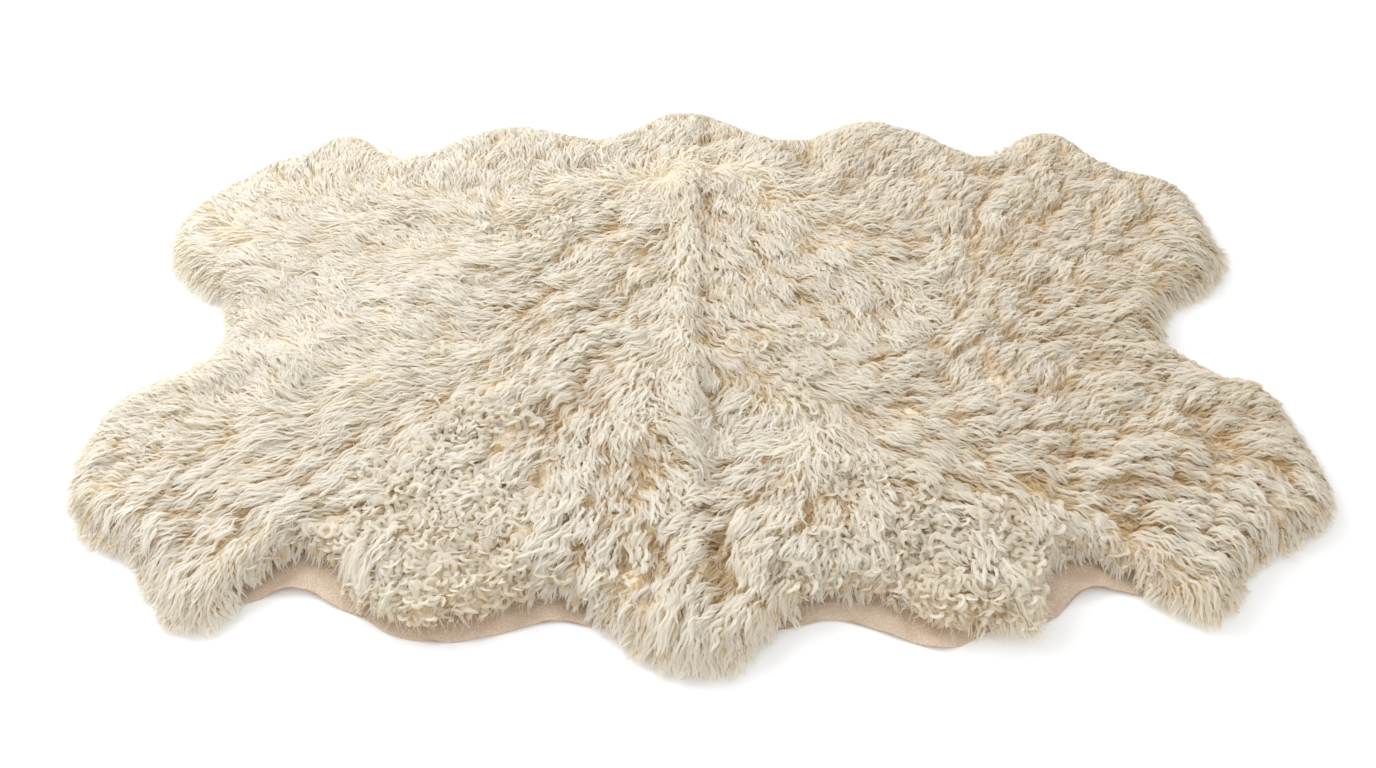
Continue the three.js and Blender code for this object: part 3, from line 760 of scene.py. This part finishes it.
def long_locks():
    roots = sow(STRAND_GAP, 0.0022, 0.004)
    roots = roots[combed(roots)[2] + read(springy, roots) + draw.normal(0, 0.08, len(roots)) < ALL_CURLED]
    n = len(roots)
    heading, agreed, curl, fluff = combed(roots)
    muddle = np.clip(0.75 - agreed + 0.55 * read(opening, roots), 0, 1)
    rim = 1 - smooth(read(inside, roots), 0.01, 0.055)
    out = unit(np.stack([read(out_x, roots), read(out_y, roots)], axis=-1))

    tuft_spots = sow(TUFT, 0.012, -0.03)
    lock_spots = sow(LOCK, 0.004, -0.03)
    tuft, lock = nearest(tuft_spots, roots), nearest(lock_spots, roots)

    def shared(by_tuft, by_lock):
        """One number for a strand, as its tuft and its lock have it."""
        return draw.normal(0, by_tuft, len(tuft_spots))[tuft] + draw.normal(0, by_lock, len(lock_spots))[lock]

    heading = heading + read(swirl, roots) + shared(0.16, 0.09)
    heading = heading + draw.normal(0, 0.05 + 0.15 * fluff + 0.8 * muddle, n)
    way = np.stack([np.cos(heading), np.sin(heading)], axis=1)
    way = unit(way * (1 - 0.75 * column(rim)) + out * 0.75 * column(rim))
    heading = np.arctan2(way[:, 1], way[:, 0])

    def beside(spots, group):
        """How far a root is ahead of the middle of its group, and to its left."""
        off = roots - spots[group]
        return (off * way).sum(1), off[:, 1] * way[:, 0] - off[:, 0] * way[:, 1]

    ahead_tuft, left_tuft = beside(tuft_spots, tuft)
    ahead_lock, left_lock = beside(lock_spots, lock)
    valley = np.clip((np.abs(left_tuft) / (TUFT / 2)) ** 2, 0, 1)
    crease = np.clip((np.abs(left_lock) / (LOCK / 2)) ** 2, 0, 1)

    # The wool is roughest at the front and smoothest at the left end.
    rough = 0.8 + 0.8 * smooth(-roots[:, 1], 0.12, 0.42) + 0.2 * curl - 0.3 * fluff
    rough = rough - 0.3 * smooth(-roots[:, 0], 0.1, 0.6)
    lift = read(swell, roots) + rough * shared(0.0032, 0.0016)
    lift = lift + rough * (0.004 * (1 - valley) + 0.0024 * (1 - crease) - 0.0034) + 0.003 * muddle
    lift = lift * smooth(read(inside, roots), 0.01, 0.05)
    # The tint is random tone, and is painted warmer and darker towards the right end as painted shade.
    tint = 0.26 + read(blush, roots) + shared(0.08, 0.07) + draw.normal(0, 0.08, n) + RIGHT_SHADE_TINT * roots[:, 0]
    length = STRAND_LENGTH * (1 + shared(0.08, 0.12)) * (1 + 0.25 * fluff) - 0.45 * ahead_tuft - 0.5 * ahead_lock
    length = column(kept_in(roots, heading, np.maximum(length, SHORTEST), draw.uniform(0.0, 0.013, n)))
    bend = column(shared(0.15, 0.18)) + draw.normal(0, 0.05, (n, 1)) * (1 + 3 * column(fluff))
    phase = 2 * np.pi * (roots * way).sum(1) / CRIMP + read(crimp_start, roots) + shared(0.25, 0.3)
    phase = column(phase) + draw.normal(0, 0.12, (n, 1))
    wave = column((WAVE - 0.0016 * fluff) * (1 + shared(0.1, 0.25)))

    # Where each strand runs, from its root to its tip.
    t = np.linspace(0, 1, LONG_STEPS)[None, :] ** 0.85 + np.zeros((n, 1))
    run = length * t
    gather = -column(0.3 * left_tuft + 0.5 * left_lock)
    sway = run * bend * t / 2 + gather * smooth(t, 0.15, 1.0)
    sway = sway + wave * np.sin(2 * np.pi * run / CRIMP + phase) * smooth(t, 0, 0.3)
    c, sn = np.cos(column(heading)), np.sin(column(heading))
    xy = np.stack([column(roots[:, 0]) + run * c - sway * sn, column(roots[:, 1]) + run * sn + sway * c], axis=-1)
    root_depth = column(ROOT_DEPTH - 0.010 * np.clip(1.3 * muddle, 0, 1))
    up = column(lift) + draw.normal(0, 0.0006, (n, 1)) * (1.2 - 0.8 * column(fluff))
    depth = root_depth * (1 - smooth(t, 0.0, 0.36)) + 0.0025 * t ** 3 - up * smooth(t, 0.05, 0.45)
    depth = depth + 0.6 * wave * np.cos(2 * np.pi * run / CRIMP + phase) * smooth(t, 0, 0.3)
    z = np.maximum(lay_on_pile(xy, depth, t), read(ground, xy) + STRAND_FOOT)
    lines = np.concatenate([xy, z[..., None]], axis=-1)
    half = STRAND_HALF * draw.uniform(0.75, 1.25, (n, 1)) * (1 - 0.25 * column(fluff))
    half = half * (0.7 + 0.3 * smooth(t, 0, 0.3)) * (1 - 0.8 * smooth(t, 0.62, 1.06))

    # A lock is rounded: its outer strands turn their backs to its sides.
    forward = unit(np.gradient(lines, axis=1))
    side = unit(np.cross(forward, UP))
    roll = -0.8 * column(left_lock) / (LOCK / 2) + draw.normal(0, 0.15, (n, 1))
    roll = roll[..., None] * (1 - 0.5 * t[..., None])
    over = np.cross(side, forward) * np.cos(roll) + side * np.sin(roll)

    # Roots are golden. Where a strand lies low, in the parting, between the tufts and locks and below the pile
    # around it, it is painted golden and darker as painted shade, and where it stands above that pile, paler as
    # painted light. It is painted paler where the strokes part or the wool is fluffy.
    shade = rough * (0.3 * valley + 0.35 * crease) + 0.4 * read(parting, roots) - 0.9 * muddle - 0.5 * fluff
    sunk_shade = np.clip((read(mean_pile, xy) - z) / 0.012, -0.5, 1) * smooth(read(inside, xy), 0.0, 0.04)
    along = t - column(shade) * (1 - t) - 0.50 * column(rough) * sunk_shade + draw.normal(0, 0.04, (n, 1))
    return roots, lines, half, over, np.clip(along, 0, 1), np.clip(column(tint) + 0 * t, 0, 1)


# ---------------------------------------------------------------- ringlets
# Where the wool has sprung back on itself, most of all above the bare leather, its locks are loops and hooks as
# wide as a thumb, of two strands each.
CURL_GAP, CURL_LENGTH, CURL_HALF = 0.0092, 0.037, 0.0028
ALL_STRAIGHT = 0.52  # the curl below which no ringlet grows
CURL_STEPS = 13


def ringlets():
    roots = sow(CURL_GAP, 0.0034, 0.003)
    roots = roots[combed(roots)[2] + read(springy, roots) + draw.normal(0, 0.08, len(roots)) > ALL_STRAIGHT]
    n = len(roots)
    t = np.linspace(0, 1, CURL_STEPS)[None, :] + np.zeros((n, 1))
    hand = np.where(draw.random((n, 1)) < 0.5, -1, 1)
    loop = draw.uniform(3.4, 7.4, (n, 1)) * (t + 0.5 * t ** 2) / 1.5
    hook = 2.2 * np.sin(np.pi * 1.15 * t)
    turn = draw.uniform(0, 2 * np.pi, (n, 1)) + hand * np.where(draw.random((n, 1)) < 0.7, loop, hook)
    size = CURL_LENGTH * draw.uniform(0.7, 1.35, (n, 1))
    size = size * column(np.clip((read(inside, roots) + 0.008) / 0.022, 0.55, 1))
    pace = size / (CURL_STEPS - 1)
    path = np.cumsum(np.stack([pace * np.cos(turn), pace * np.sin(turn)], axis=-1), axis=1)
    path = path - path.mean(axis=1, keepdims=True)
    across = np.stack([-np.sin(turn), np.cos(turn)], axis=-1)
    lean = draw.normal(0, 0.42, (n, 1, 2))
    level = lay_on_pile(roots, 0.002 + np.zeros(n), np.ones(n))
    rise = (read(swell, roots) + draw.normal(0.0028, 0.0026, n)) * smooth(read(inside, roots), 0, 0.04)
    # The tint is painted warmer and darker towards the right end, as painted shade.
    tint = 0.42 + read(blush, roots) + draw.normal(0, 0.10, n) + RIGHT_SHADE_TINT * roots[:, 0]
    # A curl is painted paler where it stands higher and more golden where it sinks, as painted light and shade,
    # besides golden at its root.
    along = 0.1 + 0.35 * smooth(t, 0, 0.35) + (path * lean).sum(-1) / 0.014 + column(rise) / 0.025
    pair = []
    for second in (0, 1):
        spread = (second * hand * (0.0024 - 0.0007 * t) + draw.normal(0, 0.0004, (n, 1)))[..., None]
        mine = path + across * spread
        xy = roots[:, None, :] + mine
        z = column(level + rise) + (mine * lean).sum(-1) + 0.003 * t - 0.0009 * second
        z = z - 0.007 * (1 - smooth(t, 0, 0.2)) - 0.003 * smooth(t, 0.85, 1.0) + draw.normal(0, 0.0004, (n, 1))
        z = np.maximum(z, read(ground, xy) + STRAND_FOOT)
        lines = np.concatenate([xy, z[..., None]], axis=-1)
        over = unit(np.concatenate([-lean + 0.6 * second * across, np.ones((n, CURL_STEPS, 1))], axis=-1))
        half = (CURL_HALF - 0.0012 * second) * draw.uniform(0.8, 1.2, (n, 1)) * (1 - 0.6 * smooth(t, 0.8, 1.05))
        pair.append((roots, lines, half, over, np.clip(along, 0, 1), np.clip(column(tint) + 0 * t, 0, 1)))
    return [np.concatenate(part) for part in zip(*pair)]


# ---------------------------------------------------------------- strays
# Single fibres have worked loose and stand off the locks, most of them at the rim. They are as fine as thread and
# paler than the rest.
STRAY_GAP, STRAY_RIM_GAP = 0.024, 0.0085
STRAY_LENGTH, STRAY_HALF = 0.040, 0.00042
STRAY_RIM = 0.03  # how far in the rim's own strays reach
STRAY_STEPS = 5


def strays():
    rim_spots = sow(STRAY_RIM_GAP, 0.004, 0.003)
    roots = np.concatenate([sow(STRAY_GAP, 0.012, 0.004), rim_spots[read(inside, rim_spots) < STRAY_RIM]])
    n = len(roots)
    turn = combed(roots)[0] + draw.normal(0, 0.7, n)
    near_rim = column(1 - smooth(read(inside, roots), 0.01, 0.05))
    out = unit(np.stack([read(out_x, roots), read(out_y, roots)], axis=-1))
    way = unit(np.stack([np.cos(turn), np.sin(turn)], axis=1) * (1 - 0.8 * near_rim) + out * 0.8 * near_rim)
    turn = np.arctan2(way[:, 1], way[:, 0]) + draw.normal(0, 0.3, n)
    tidy = 1 - 0.8 * np.clip(4 * read(bare_margin, roots), 0, 1)
    length = STRAY_LENGTH * draw.uniform(0.6, 1.3, n)
    length = column(kept_in(roots, turn, length, draw.uniform(0.005, 0.020, n) * tidy))
    t = np.linspace(0, 1, STRAY_STEPS)[None, :] + np.zeros((n, 1))
    run = length * t
    sway = run * t * draw.uniform(-0.7, 0.7, (n, 1)) + 0.002 * np.sin(9 * t + draw.uniform(0, 6, (n, 1))) * t
    c, sn = np.cos(column(turn)), np.sin(column(turn))
    xy = np.stack([column(roots[:, 0]) + run * c - sway * sn, column(roots[:, 1]) + run * sn + sway * c], axis=-1)
    depth = 0.008 * (1 - smooth(t, 0, 0.4)) - draw.uniform(-0.001, 0.006, (n, 1)) * t
    lines = np.concatenate([xy, lay_on_pile(xy, depth, t)[..., None]], axis=-1)
    forward = unit(np.gradient(lines, axis=1))
    over = np.cross(unit(np.cross(forward, UP)), forward)
    half = STRAY_HALF * draw.uniform(0.7, 1.3, (n, 1)) * (1 - 0.7 * smooth(t, 0.4, 1.0))
    tint = np.clip(draw.normal(0.15, 0.12, (n, 1)), 0, 1) + 0 * t
    return roots, lines, half, over, 0.6 + 0.4 * t, tint


# ---------------------------------------------------------------- the four fleeces
# Every strand goes with the pelt that its root grows on: one piece of each kind of wool for each pelt.
wools = {"long_locks": long_locks(), "ringlets": ringlets(), "strays": strays()}
for label, (at, *strands) in wools.items():
    for pelt in PELTS:
        own = ((at[:, 0] < 0) == pelt.endswith("left")) & ((at[:, 1] < 0) == pelt.startswith("front"))
        piece = strand_mesh(f"{label}_{pelt}", *(part[own] for part in strands))
        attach(piece, "root")
        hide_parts(f"wool_{pelt}")
